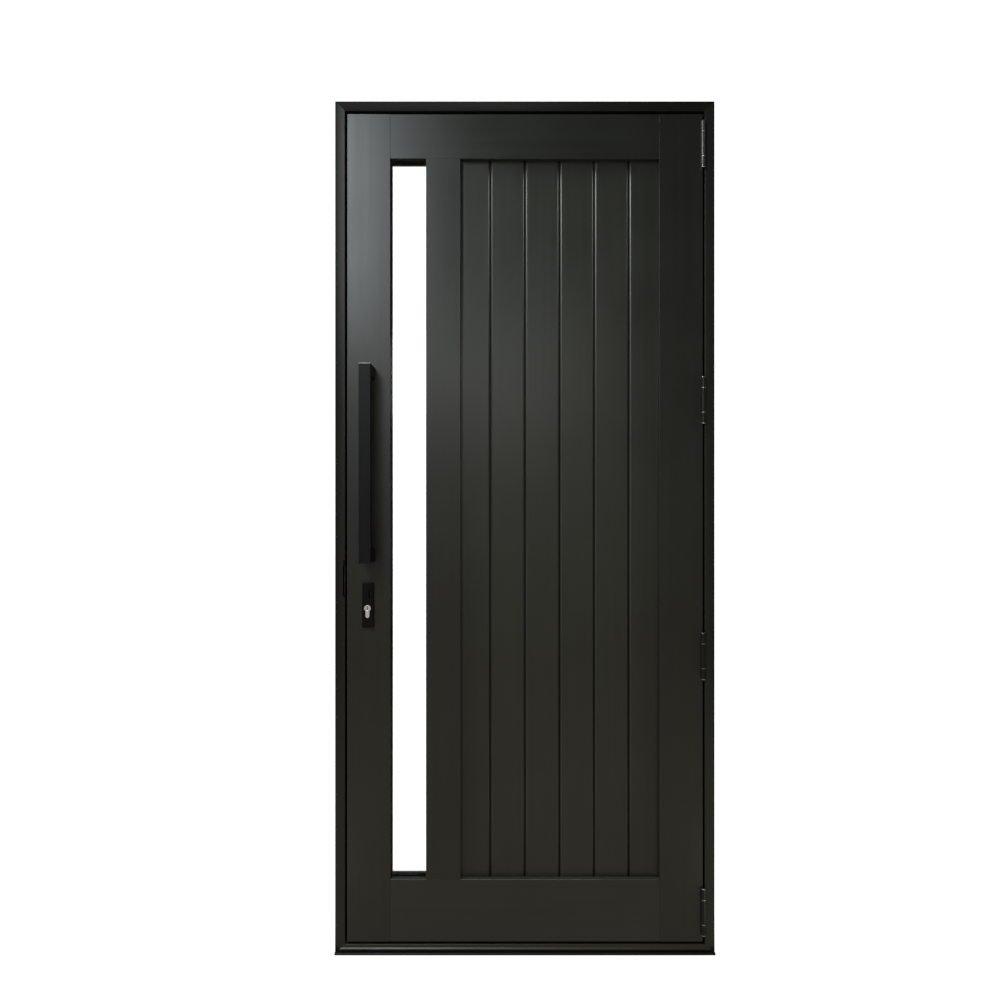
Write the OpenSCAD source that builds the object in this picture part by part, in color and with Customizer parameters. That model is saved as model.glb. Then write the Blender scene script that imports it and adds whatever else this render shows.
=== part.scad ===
// Entrance door set: an outward opening aluminium leaf in its mitred frame.
// The leaf has stiles and rails round a narrow glass strip and a panel of six V-jointed boards.
// X runs from the lock side to the hinge side, Y from outside to inside and Z up.
// The origin is under the middle of the sill.

/* [Leaf] */
// Width of the leaf
leaf_w = 920; // [760:5:1110]
// Height of the leaf
leaf_h = 2140.5; // [1780:0.5:2580]
// Thickness of the leaf
leaf_t = 50; // [48:1:64]
// Face width of the lock stile and the hinge stile
stile_w = 112; // [108:1:140]
// Face width of the stile between the glass and the boards
mid_stile_w = 89.5; // [60:0.5:120]
// Face height of the top rail
top_rail_h = 115; // [80:1:180]
// Face height of the bottom rail
bottom_rail_h = 160.5; // [100:0.5:260]
// Wall of every leaf section and frame section
wall = 3; // [2:0.1:3.5]
// Depth of the lip that the glass and the boards sit behind
lip_d = 15; // [10:0.5:15]
// Width of that lip
lip_w = 14; // [11:0.5:18]
// Radius of the sharpest visible arris
arris = 1; // [0.5:0.1:1.5]

/* [Frame] */
// Face width of the head and the jambs
frame_face = 26.5; // [20:0.5:35]
// Face height of the sill
sill_face = 21; // [19:0.5:35]
// Depth of the frame, front to back
frame_depth = 100; // [90:1:160]
// How far the face of the head and the jambs falls back at its outer edge
frame_crown = 2.4; // [0.5:0.1:4]
// Radius of the frame's outer arris
frame_round = 3; // [1:0.5:5]
// How far the stop behind the leaf stands in from the rebate
stop_w = 22; // [16:1:30]
// Room between the back of the leaf and the stop
seal_gap = 6; // [4:0.5:9]
// Gap between the leaf and each jamb
side_gap = 5.5; // [4.5:0.1:7]
// Gap between the leaf and the head
top_gap = 9; // [3:0.5:12]
// Gap between the leaf and the sill
bottom_gap = 7; // [4:0.5:10]
// Height of the sub sill under the frame
sub_sill_h = 5; // [5:0.5:12]
// How far the nose of the sub sill stands out
nose_out = 4.5; // [4:0.5:20]

/* [Boards] */
// Thickness of a board
board_t = 24; // [20:1:25]
// Thickness of the tape between the lip and the boards
tape_t = 1; // [0.5:0.1:2]
// Width of the chamfer on each edge of a board
vee = 4.5; // [2:0.5:6]
// Shadow gap at the bottom of each V-joint
board_gap = 0.8; // [0.3:0.1:2]
// Length of the tongue that enters the next board
tongue_l = 6; // [4:0.5:9]
// Thickness of the tongue
tongue_t = 6; // [4:0.5:8]
// Wall of a board
board_wall = 2; // [1.2:0.1:2.5]
// How much narrower the last board is cut than the others
last_trim = 1.5; // [0:0.5:30]
// Room round the boards in their rebate
board_clear = 1; // [0.5:0.5:3]

/* [Glass] */
// Width of the glass that shows
glass_w = 92; // [60:1:140]
// Thickness of one pane
pane_t = 5; // [4:0.5:6]
// Width of the cavity between the panes
cavity = 14; // [10:1:15]
// Thickness of the gasket outside the glass
gasket_out = 3; // [2:0.5:4]
// Thickness of the gasket inside the glass
gasket_in = 2; // [1:0.5:3]
// Room round the edge of the glass
glass_clear = 4; // [3:0.5:6]

/* [Pull handles] */
// Length of a pull handle
handle_l = 500; // [300:10:1000]
// Width of the handle's square section across the leaf
handle_w = 30; // [20:1:40]
// How far a handle stands out from the leaf
handle_out = 72; // [55:1:90]
// Depth of the grip bar
handle_bar = 20; // [14:1:30]
// Height of each handle post
handle_post = 30; // [22:1:45]
// Distance from the leaf's edge to the middle of the handle
handle_in = 58; // [45:1:70]
// Height of the handle's lower end above the leaf's bottom
handle_z = 984; // [950:5:1100]
// Radius of the through bolts
handle_bolt_r = 4; // [3:0.5:5]

/* [Lock] */
// Distance from the leaf's edge to the middle of the cylinder
backset = 55; // [45:1:60]
// Height of the cylinder above the leaf's bottom
lock_h = 864; // [800:5:900]
// Width of a lock plate
plate_w = 28; // [24:1:34]
// Height of a lock plate
plate_h = 115; // [100:1:140]
// How far a lock plate stands out from the leaf
plate_t = 12; // [8:1:16]
// How far the middle of the plate is above the cylinder
plate_rise = 7.5; // [0:0.5:12]
// Width of the slot in the outside plate
slot_w = 4; // [2:0.5:6]
// Height of that slot
slot_h = 25; // [10:1:30]
// How far the slot's middle is from the cylinder's, sideways
slot_x = 5; // [0:0.5:8]
// How far the slot's middle is above the cylinder's
slot_z = 36.5; // [30:0.5:45]
// Height of the lock case
case_h = 160; // [150:1:200]
// Depth of the lock case
case_d = 84; // [76:1:88]
// Thickness of the lock case
case_t = 20; // [18:1:28]
// Wall of the lock case
case_wall = 1.5; // [1:0.1:2]
// Height of the face plate on the leaf's edge
faceplate_h = 235; // [210:5:260]
// Width of the face plate
faceplate_w = 24; // [22:1:30]
// Distance between the cylinder and the roller
bolt_centres = 75; // [70:1:92]
// Height of the dead bolt
bolt_h = 24; // [16:1:26]
// Thickness of the dead bolt
bolt_t = 14; // [8:1:16]
// Radius of the roller
roller_r = 8; // [6:0.5:8]
// How far the roller stands out from the face plate
roller_out = 3.5; // [1:0.5:3.5]
// Radius of the key plug
plug_r = 6.5; // [6:0.1:7]
// Running clearance round the plug, the pins and the roller's pin
fit = 0.08; // [0.03:0.01:0.1]

/* [Hinges] */
// Length of the hinge barrel
hinge_l = 118; // [80:1:150]
// Length of the middle knuckle
knuckle_l = 62; // [30:1:70]
// Radius of the barrel
barrel_r = 5.5; // [4.5:0.5:7]
// Radius of the hinge pin
pin_r = 3; // [2:0.5:3.5]
// Thickness of a hinge leaf
hinge_t = 2; // [1.5:0.1:2]
// Width of a hinge leaf inside the gap
hinge_w = 40; // [30:1:44]
// Thickness of the washer between two knuckles
washer_t = 1.5; // [1:0.1:3]
// Distance from the leaf's end to the middle of the nearest hinge
hinge_inset = 80; // [70:1:200]
// How far the barrel's middle lies from the middle of the gap
barrel_shift = 2.5; // [0:0.1:2.5]

/* [Wall fixings] */
// Radius of the fixing holes through the jambs
fixing_r = 4; // [3:0.5:6]
// Distance between the outer pair of fixing holes
fixing_outer = 1600; // [1200:10:2000]
// Distance between the inner pair of fixing holes
fixing_inner = 960; // [600:10:1100]

/* [Hidden] */

$fn = 48;
cut = 1; // how far a cutting shape runs past a face
seat = 0.2; // clearance where a fixed piece sits in another
clear = 0.5; // clearance where a piece moves past another
snug = 0.05; // room round a screw or a bolt

coat = "#2b2a27";
black = "#161616";
rubber = "#101010";
mill = "#a9abad";
chrome = "#c4c2bd";

// Frame
frame_w = leaf_w + 2 * side_gap + 2 * frame_face;
ring_h = leaf_h + top_gap + bottom_gap + frame_face + sill_face;
frame_h = ring_h + sub_sill_h;
y_front = -frame_depth / 2;
stop_v = leaf_t + seal_gap;
frame_reach = frame_face + stop_w;
sill_reach = sill_face + stop_w;
jamb_x = frame_w / 2 - frame_face; // the rebate face of a jamb

// Leaf
leaf_z = sub_sill_h + sill_face + bottom_gap;
leaf_top = leaf_z + leaf_h;
y_back = y_front + leaf_t;
y_mid = y_front + leaf_t / 2;
open_z0 = leaf_z + bottom_rail_h; // sight lines of both openings
open_z1 = leaf_top - top_rail_h;
rebate_z0 = open_z0 - lip_w; // the rebates behind the lips
rebate_z1 = open_z1 + lip_w;
glass_x0 = -leaf_w / 2 + stile_w;
glass_x1 = glass_x0 + glass_w;
panel_x0 = glass_x1 + mid_stile_w;
panel_x1 = leaf_w / 2 - stile_w;
rail_l = leaf_w - 2 * (stile_w - lip_w);

// Glass unit
pane_y0 = y_front + lip_d + gasket_out;
cavity_y0 = pane_y0 + pane_t;
pane_y1 = cavity_y0 + cavity;
unit_back = pane_y1 + pane_t;
glass_bead_y = unit_back + gasket_in;
unit_x0 = glass_x0 - lip_w + glass_clear;
unit_x1 = glass_x1 + lip_w - glass_clear;
unit_z0 = rebate_z0 + glass_clear;
unit_z1 = rebate_z1 - glass_clear;
edge_cover = lip_w - glass_clear; // how much glass the lip covers
spacer_h = 7;
spacer_in = 2.5;
bead_wall = 1.5;
block_l = 26;

// Boards
BOARDS = 6;
board_x0 = panel_x0 - lip_w + board_clear;
board_x1 = panel_x1 + lip_w - board_clear;
board_z0 = rebate_z0 + board_clear;
board_z1 = rebate_z1 - board_clear;
pitch = (board_x1 - board_x0 + last_trim) / BOARDS;
board_y = y_front + lip_d + tape_t;
panel_bead_y = board_y + board_t + clear;
tape_w = 9;
tape_in = 3;

// Hinges
HINGES = 4;
hinge_pitch = (leaf_h - 2 * hinge_inset) / (HINGES - 1);
hinge_x = leaf_w / 2 + side_gap / 2 - barrel_shift;
hinge_y = y_front - barrel_r - clear;
knuckle_end = hinge_l / 2;
pin_head_h = 2;
screw_r = 2;
screw_head_r = 4;
screw_l = 14;
hinge_screw_z = [-45, -20, 20, 45];
hinge_screw_y = [0.45, 0.75]; // shares of the leaf's width, for the end screws and the middle ones

// Lock
lock_x = -leaf_w / 2 + backset;
lock_z = leaf_z + lock_h;
edge_x = -leaf_w / 2;
case_x = edge_x + wall;
case_low = 58; // how far the case reaches below the cylinder
case_z = lock_z - case_low;
faceplate_rise = 22.5; // its middle above the cylinder
faceplate_z = lock_z + faceplate_rise - faceplate_h / 2;
roller_z = lock_z + bolt_centres;
roller_x = edge_x - roller_out + roller_r;
roller_h = 14;
fork_t = 2.5; // cheek over and under the roller
carriage_l = 30;
roller_pin_r = 2;
cheek_w = 1.4 * roller_r;
cyl_head_r = 8.5;
cyl_body_r = 5;
cyl_h = 33;
cyl_foot = cyl_h - cyl_head_r - cyl_body_r; // from the plug's axis to the foot's own
cyl_proud = 1.5;
cyl_y0 = y_front - plate_t - cyl_proud;
cyl_y1 = y_back + plate_t + cyl_proud;
cam_t = 9;
cam_r = 15;
cam_w = 8;
bolt_x0 = edge_x + clear; // front of the dead bolt when it is drawn back
bolt_x1 = lock_x - cam_r - 2 * clear;
bolt_arm_z = cam_r + 2 * clear; // the arm passes over the cam
bolt_arm_h = 8;
plate_screw_r = 2.5;
plate_screw_z = [-42, 57]; // above the cylinder
plate_skin = 3; // left in front of the plate screws' holes
cyl_screw_r = 2.5;
cyl_screw_head_r = 4.5;
face_screw_in = 7;
face_screw_past = 4; // how far a face plate screw passes the case's flange

// Strike
strike_t = 1.5;
strike_w = 36;
strike_low = 32; // below the cylinder
strike_high = 62; // above the roller
lip_h = 96;
lip_face = 5.5;
notch_h = 76;
notch_d = 6;
notch_z = roller_z - lip_h / 2 + 4; // the notch starts just above the lip's lower end
strike_screw_in = 8;
pocket = 1; // room round the dead bolt in the strike

// ---- Helpers ----

// Points on an arc about c
function arc(c, r, a0, a1, n = 5) =
    [for (i = [0:n]) let (a = a0 + (a1 - a0) * i / n) [c[0] + r * cos(a), c[1] + r * sin(a)]];

// A rectangle from p to q whose two lower corners are rounded
function front_rounded(p, q, r) = concat(
    arc([p[0] + r, p[1] + r], r, 180, 270),
    arc([q[0] - r, p[1] + r], r, 270, 360),
    [[q[0], q[1]], [p[0], q[1]]]);

// A rectangle from p to q with four rounded corners
function rounded(p, q, r) = concat(
    arc([p[0] + r, p[1] + r], r, 180, 270),
    arc([q[0] - r, p[1] + r], r, 270, 360),
    arc([q[0] - r, q[1] - r], r, 0, 90),
    arc([p[0] + r, q[1] - r], r, 90, 180));

// A box from one corner to the opposite one
module box(p, q) translate(p) cube(q - p);

// An outline in the YZ plane, drawn out along X from x0 to x1
module along_x(x0, x1) translate([x0, 0, 0]) rotate([90, 0, 90]) linear_extrude(x1 - x0) children();

// An outline in the XZ plane, drawn out along Y from y0 to y1
module along_y(y0, y1) translate([0, y1, 0]) rotate([90, 0, 0]) linear_extrude(y1 - y0) children();

// A round bar along X or Y
module rod_x(p, r, l) translate(p) rotate([0, 90, 0]) cylinder(h = l, r = r);
module rod_y(p, r, l) translate(p) rotate([-90, 0, 0]) cylinder(h = l, r = r);

// A section of u inwards and v backwards, stood along Z between two mitres. Each mitre is a list of
// points that starts at the outer corner, with its second number measured from the end.
module mitred(l, low, high, v0, v1) intersection() {
    linear_extrude(l) children();
    along_y(v0, v1) polygon(concat(low, [for (i = [len(high) - 1:-1:0]) [high[i][0], l - high[i][1]]]));
}

// A flat ring between y0 and y1 that is band wide inside the given rectangle
module ring(p, q, band, y0, y1) difference() {
    box([p[0], y0, p[1]], [q[0], y1, q[1]]);
    box([p[0] + band, y0 - cut, p[1] + band], [q[0] - band, y1 + cut, q[1] - band]);
}

// A countersunk screw with its head at the top and a hexagon socket in it
module csk_screw(l, r = screw_r, head = screw_head_r) difference() {
    union() {
        translate([0, 0, r - head]) cylinder(h = head - r, r1 = r, r2 = head);
        translate([0, 0, -l]) cylinder(h = l + r - head, r = r);
    }
    translate([0, 0, -1]) cylinder(h = 1 + cut, r = r * 0.7, $fn = 6);
}

// The hole for that screw
module csk_hole(l, r = screw_r, head = screw_head_r) {
    translate([0, 0, r - head - snug]) cylinder(h = head - r + snug, r1 = r, r2 = head + snug);
    translate([0, 0, -l - cut]) cylinder(h = l + cut, r = r + snug);
}

// ---- Frame ----

// The face is an arc that starts flush at the rebate. A fillet of radius r inside it, whose centre
// is d from the rebate, touches it at crown_angle and has its centre crown_v behind the front.
crown_r = (frame_face * frame_face + frame_crown * frame_crown) / (2 * frame_crown);
function crown_v(d, r) = crown_r - sqrt((crown_r - r) * (crown_r - r) - d * d);
function crown_angle(d, r) = asin(d / (crown_r - r));

// Section of the head and the jambs: u = 0 is the outer face, v = 0 the front
module frame_section() {
    outer_d = frame_face - frame_round;
    outer_a = 270 - crown_angle(outer_d, frame_round);
    inner_a = 270 - crown_angle(arris, arris);
    face = arc([frame_face, crown_r], crown_r, outer_a, inner_a, 12);
    difference() {
        polygon(concat(
            arc([frame_round, crown_v(outer_d, frame_round)], frame_round, 180, outer_a, 8),
            [for (i = [1:len(face) - 2]) face[i]],
            arc([frame_face - arris, crown_v(arris, arris)], arris, inner_a, 360),
            [[frame_face, stop_v], [frame_reach, stop_v], [frame_reach, frame_depth], [0, frame_depth]]));
        frame_chambers(frame_crown + wall, frame_face);
    }
}

// The two chambers of a section with the given face, the first one starting at v0
module frame_chambers(v0, face) {
    polygon([[wall, v0], [face - wall, v0],
             [face - wall, frame_depth - wall], [wall, frame_depth - wall]]);
    polygon([[face, stop_v + wall], [face + stop_w - wall, stop_v + wall],
             [face + stop_w - wall, frame_depth - wall], [face, frame_depth - wall]]);
}

// Section of the sill: a drip recess at the bottom, a ridge over it, then the plain face
drip_in = 4; // how far the recess goes in
drip_h = 7.5;
ridge_out = 3;
ridge_h = 2.5;
module sill_section() difference() {
    polygon(concat(
        [[0, drip_in], [drip_h, drip_in], [drip_h, -ridge_out], [drip_h + ridge_h, -ridge_out],
         [drip_h + ridge_h + ridge_out, 0]],
        arc([sill_face - arris, arris], arris, 270, 360),
        [[sill_face, stop_v], [sill_reach, stop_v], [sill_reach, frame_depth], [0, frame_depth]]));
    frame_chambers(drip_in + wall, sill_face);
}

// The upper mitre is at 45 degrees. The lower one runs to the inner corner of a sill that is less
// high than the jambs are wide, and then at 45 degrees through the stop.
upper_mitre = [[0, 0], [frame_reach, frame_reach]];
jamb_mitre = [[0, 0], [frame_face, sill_face], [frame_reach, sill_reach]];
sill_mitre = [[0, 0], [sill_face, frame_face], [sill_reach, frame_reach]];

module frame_head() color(coat)
    translate([-frame_w / 2, y_front, frame_h]) rotate([0, 90, 0])
        mitred(frame_w, upper_mitre, upper_mitre, 0, frame_depth) frame_section();

module frame_sill() color(coat)
    translate([-frame_w / 2, y_front, sub_sill_h]) mirror([0, 0, 1]) rotate([0, 90, 0])
        mitred(frame_w, sill_mitre, sill_mitre, -ridge_out, frame_depth) sill_section();

// A jamb on the lock side, with its wall fixing holes
module jamb() difference() {
    translate([-frame_w / 2, y_front, sub_sill_h])
        mitred(ring_h, jamb_mitre, upper_mitre, 0, frame_depth) frame_section();
    for (d = [-fixing_outer, -fixing_inner, fixing_inner, fixing_outer])
        rod_x([-frame_w / 2 - cut, y_mid, (frame_h + d) / 2], fixing_r, frame_face + 2 * cut);
}

module frame_jamb_lock() color(coat) difference() {
    jamb();
    strike_blank(0);
    box([-jamb_x - wall - cut, y_mid - bolt_t / 2 - pocket, lock_z - bolt_h / 2 - pocket],
        [-jamb_x + cut, y_mid + bolt_t / 2 + pocket, lock_z + bolt_h / 2 + pocket]);
    strike_notch();
    strike_screw_places() csk_hole(screw_l);
}

module frame_jamb_hinge() color(coat) difference() {
    mirror([1, 0, 0]) jamb();
    hinge_places() frame_screw_places() csk_hole(screw_l);
}

// A low channel under the whole frame, with a rounded nose and three feet
foot_w = 12;
channel_h = 3.5; // the hollow between the feet
nose_r = 2.5;
module sub_sill() color(coat) along_x(-frame_w / 2, frame_w / 2) translate([y_front, 0])
    polygon(concat(
        [[-nose_out, 0]],
        arc([nose_r - nose_out, sub_sill_h - nose_r], nose_r, 180, 90),
        [[frame_depth, sub_sill_h], [frame_depth, 0],
         [frame_depth - foot_w, 0], [frame_depth - foot_w, channel_h],
         [(frame_depth + foot_w) / 2, channel_h], [(frame_depth + foot_w) / 2, 0],
         [(frame_depth - foot_w) / 2, 0], [(frame_depth - foot_w) / 2, channel_h],
         [0, channel_h], [0, 0]]));

// An angle block in the chambers of each mitred corner
cleat_l = 80;
cleat_v = 20; // from the front and the back of the frame
module corner_cleats() color(mill) {
    a = wall + seat;
    for (sx = [0, 1], sz = [0, 1])
        let (level_h = sz == 0 ? sill_face : frame_face,
             b = (level_h - wall) * frame_face / level_h - seat) // clear of the mitre at the inner wall
        translate([0, 0, sub_sill_h + sz * ring_h]) mirror([sx, 0, 0]) mirror([0, 0, sz])
            translate([-frame_w / 2, 0, 0])
                along_y(y_front + cleat_v, y_front + frame_depth - cleat_v)
                    polygon([[a, a], [cleat_l, a], [cleat_l, level_h - a],
                             [b, level_h - a], [b, cleat_l], [a, cleat_l]]);
}

// A bulb seal on the face of the stop, all the way round
seal_w = 8;
seal_in = 4; // from the leaf's edge
seal_clear = 0.3; // from the back of the leaf
seal_foot_h = 1.5;
bulb_r = 3;
module seal_section() polygon(concat(
    [[seal_w, seal_gap], [0, seal_gap], [0, seal_gap - seal_foot_h],
     [seal_w / 2 - bulb_r, seal_gap - seal_foot_h]],
    arc([seal_w / 2, seal_clear + bulb_r], bulb_r, 180, 360, 10),
    [[seal_w / 2 + bulb_r, seal_gap - seal_foot_h], [seal_w, seal_gap - seal_foot_h]]));

module weather_seal() color(rubber) translate([0, y_back, leaf_z + seal_in]) {
    w = leaf_w - 2 * seal_in;
    h = leaf_h - 2 * seal_in;
    corner = [[0, 0], [seal_w, seal_w]];
    for (side = [0, 1]) {
        mirror([side, 0, 0]) translate([-w / 2, 0, 0])
            mitred(h, corner, corner, 0, seal_gap) seal_section();
        translate([0, 0, side * h]) mirror([0, 0, 1 - side])
            translate([-w / 2, 0, 0]) rotate([0, 90, 0])
                mitred(w, corner, corner, 0, seal_gap) seal_section();
    }
}

// ---- Strike ----

// The strike's outline: a plate on the rebate face and a lip round the front arris
module strike_blank(gap) {
    z0 = lock_z - strike_low;
    z1 = roller_z + strike_high;
    box([-jamb_x - strike_t - gap, y_mid - strike_w / 2 - gap, z0 - gap],
        [-jamb_x + (gap > 0 ? cut : 0), y_mid + strike_w / 2 + gap, z1 + gap]);
    box([-jamb_x - strike_t - gap, y_front, roller_z - lip_h / 2 - gap],
        [-jamb_x, y_mid, roller_z + lip_h / 2 + gap]);
    box([-jamb_x - lip_face - gap, y_front, roller_z - lip_h / 2 - gap],
        [-jamb_x, y_front + strike_t + gap, roller_z + lip_h / 2 + gap]);
}

// The notch through the lip and the arris behind its lower half
module strike_notch()
    box([-jamb_x - lip_face, y_front - cut, notch_z],
        [-jamb_x + cut, y_front + notch_d, notch_z + notch_h]);

module strike_screw_places()
    for (z = [lock_z - strike_low + strike_screw_in, roller_z + strike_high - strike_screw_in])
        translate([-jamb_x, y_mid, z]) rotate([0, 90, 0]) children();

module strike_plate() color(black) difference() {
    strike_blank(0);
    box([-jamb_x - 2 * strike_t, y_mid - bolt_t / 2 - pocket, lock_z - bolt_h / 2 - pocket],
        [-jamb_x + cut, y_mid + bolt_t / 2 + pocket, lock_z + bolt_h / 2 + pocket]);
    strike_notch();
    strike_screw_places() csk_hole(screw_l);
}

module strike_screws() color(black) strike_screw_places() csk_screw(screw_l);

// ---- Hinges ----

function hinge_z(i) = leaf_z + hinge_inset + (i - 1) * hinge_pitch;
function screw_y(z) = y_front + hinge_w * hinge_screw_y[abs(z) == max(hinge_screw_z) ? 0 : 1];

module hinge_places() for (i = [1:HINGES]) translate([0, 0, hinge_z(i)]) children();

module frame_screw_places() for (z = hinge_screw_z)
    translate([jamb_x - hinge_t, screw_y(z), z])
        rotate([0, -90, 0]) children();

module door_screw_places() for (z = hinge_screw_z)
    translate([leaf_w / 2 + hinge_t, screw_y(z), z])
        rotate([0, 90, 0]) children();

module knuckle(z0, z1) translate([hinge_x, hinge_y, z0]) cylinder(h = z1 - z0, r = barrel_r);
module pin_hole() translate([hinge_x, hinge_y, -hinge_l]) cylinder(h = 2 * hinge_l, r = pin_r + fit);

// The hinge leaf screwed to the jamb, with the two end knuckles
module frame_leaf(i) color(coat) translate([0, 0, hinge_z(i)]) difference() {
    union() {
        box([jamb_x - hinge_t, y_front, -knuckle_end], [jamb_x, y_front + hinge_w, knuckle_end]);
        for (s = [0, 1]) mirror([0, 0, s]) {
            knuckle(knuckle_l / 2 + washer_t, knuckle_end);
            box([jamb_x - hinge_t, hinge_y, knuckle_l / 2 + washer_t], [jamb_x, y_front, knuckle_end]);
        }
    }
    pin_hole();
    frame_screw_places() csk_hole(screw_l);
}

// The hinge leaf screwed to the door, with the middle knuckle
module door_leaf(i) color(coat) translate([0, 0, hinge_z(i)]) difference() {
    union() {
        box([leaf_w / 2, y_front, -knuckle_end], [leaf_w / 2 + hinge_t, y_front + hinge_w, knuckle_end]);
        knuckle(-knuckle_l / 2, knuckle_l / 2);
        box([leaf_w / 2, hinge_y, -knuckle_l / 2], [leaf_w / 2 + hinge_t, y_front, knuckle_l / 2]);
    }
    pin_hole();
    door_screw_places() csk_hole(screw_l);
}

module hinge_pins() color(chrome) hinge_places() translate([hinge_x, hinge_y, 0])
    rotate_extrude() polygon(concat(
        [[0, -knuckle_end - pin_head_h], [barrel_r - 1, -knuckle_end - pin_head_h]],
        arc([barrel_r - 1, -knuckle_end - pin_head_h + 1], 1, 270, 360),
        [[barrel_r, -knuckle_end], [pin_r, -knuckle_end], [pin_r, knuckle_end], [barrel_r, knuckle_end]],
        arc([barrel_r - pin_head_h, knuckle_end], pin_head_h, 0, 90),
        [[0, knuckle_end + pin_head_h]]));

module hinge_washers() color(chrome) hinge_places() for (s = [0, 1]) mirror([0, 0, s])
    translate([hinge_x, hinge_y, knuckle_l / 2]) difference() {
        cylinder(h = washer_t, r = barrel_r);
        translate([0, 0, -cut]) cylinder(h = washer_t + 2 * cut, r = pin_r + fit);
    }

module hinge_frame_screws() color(mill) hinge_places() frame_screw_places() csk_screw(screw_l);
module hinge_door_screws() color(mill) hinge_places() door_screw_places() csk_screw(screw_l);

// ---- Leaf sections ----

// Section of a stile or a rail: u = 0 is the leaf's edge, u = w the sight line, v = 0 the front
module leaf_section(w) difference() {
    polygon(concat(
        arc([arris, arris], arris, 180, 270),
        arc([w - arris, arris], arris, 270, 360),
        [[w, lip_d], [w - lip_w, lip_d], [w - lip_w, leaf_t]],
        arc([arris, leaf_t - arris], arris, 90, 180)));
    polygon([[wall, wall], [w - wall, wall], [w - wall, lip_d - wall],
             [w - lip_w - wall, lip_d - wall], [w - lip_w - wall, leaf_t - wall],
             [wall, leaf_t - wall]]);
}

// Section of the middle stile, with a lip on each side
module mid_section(w) difference() {
    polygon(concat(
        arc([arris, arris], arris, 180, 270),
        arc([w - arris, arris], arris, 270, 360),
        [[w, lip_d], [w - lip_w, lip_d], [w - lip_w, leaf_t],
         [lip_w, leaf_t], [lip_w, lip_d], [0, lip_d]]));
    polygon([[wall, wall], [w - wall, wall], [w - wall, lip_d - wall],
             [w - lip_w - wall, lip_d - wall], [w - lip_w - wall, leaf_t - wall],
             [lip_w + wall, leaf_t - wall], [lip_w + wall, lip_d - wall], [wall, lip_d - wall]]);
}

module lock_stile() color(coat) difference() {
    translate([edge_x, y_front, leaf_z]) linear_extrude(leaf_h) leaf_section(stile_w);
    handle_bolt_places() rod_y([0, -cut, 0], handle_bolt_r + clear, leaf_t + 2 * cut);
    along_y(y_front - cut, y_back + cut) euro_outline(clear);
    plate_screw_places() rod_y([0, -leaf_t - cut, 0], plate_screw_r + clear, leaf_t + 2 * cut);
    box([edge_x - cut, y_mid - faceplate_w / 2 - seat, faceplate_z - seat],
        [case_x + snug, y_mid + faceplate_w / 2 + seat, faceplate_z + faceplate_h + seat]);
}

module hinge_stile() color(coat) difference() {
    mirror([1, 0, 0]) translate([edge_x, y_front, leaf_z])
        linear_extrude(leaf_h) leaf_section(stile_w);
    hinge_places() door_screw_places() csk_hole(screw_l);
}

module mid_stile() color(coat) difference() {
    translate([glass_x1, y_front, rebate_z0])
        linear_extrude(rebate_z1 - rebate_z0) mid_section(mid_stile_w);
    for (z = [rebate_z0 - cut, open_z1])
        box([glass_x1 - cut, y_front - cut, z],
            [panel_x0 + cut, y_front + lip_d, z + lip_w + cut]);
}

// A rail of height h along X, coped over the lips of the stiles at both ends
module rail(h) difference() {
    translate([-rail_l / 2, y_front, 0]) rotate([0, 90, 0]) linear_extrude(rail_l) leaf_section(h);
    for (s = [0, 1]) mirror([s, 0, 0])
        box([-rail_l / 2 - cut, y_front - cut, -h - cut], [-rail_l / 2 + lip_w, y_front + lip_d, cut]);
}

module top_rail() color(coat) translate([0, 0, leaf_top]) rail(top_rail_h);
module bottom_rail() color(coat) translate([0, 0, leaf_z]) mirror([0, 0, 1]) rail(bottom_rail_h);

// Hollow blocks in the ends of the rails, which the stiles are screwed to
rail_block_l = 40;
rail_block_wall = 5;
module rail_block(h) difference() {
    box([-rail_l / 2, y_front + wall + seat, wall + seat],
        [-rail_l / 2 + rail_block_l, y_back - wall - seat, h - lip_w - wall - seat]);
    box([-rail_l / 2 - cut, y_front - cut, -cut],
        [-rail_l / 2 + lip_w + seat, y_front + lip_d + seat, h + cut]);
    box([-rail_l / 2 + rail_block_wall, y_front + lip_d + 1.5 * rail_block_wall, -cut],
        [-rail_l / 2 + rail_block_l - rail_block_wall, y_back - wall - seat - rail_block_wall, h]);
}

module rail_blocks() color(mill) for (s = [0, 1]) mirror([s, 0, 0]) {
    translate([0, 0, leaf_z]) rail_block(bottom_rail_h);
    translate([0, 0, leaf_top]) mirror([0, 0, 1]) rail_block(top_rail_h);
}

// A brush along the bottom of the leaf, just clear of the sill
brush_w = 6;
brush_in = 8; // from each edge of the leaf
module bottom_seal() color(rubber)
    box([edge_x + brush_in, y_mid - brush_w / 2, leaf_z - bottom_gap + clear],
        [-edge_x - brush_in, y_mid + brush_w / 2, leaf_z]);

// ---- Boards ----

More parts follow.
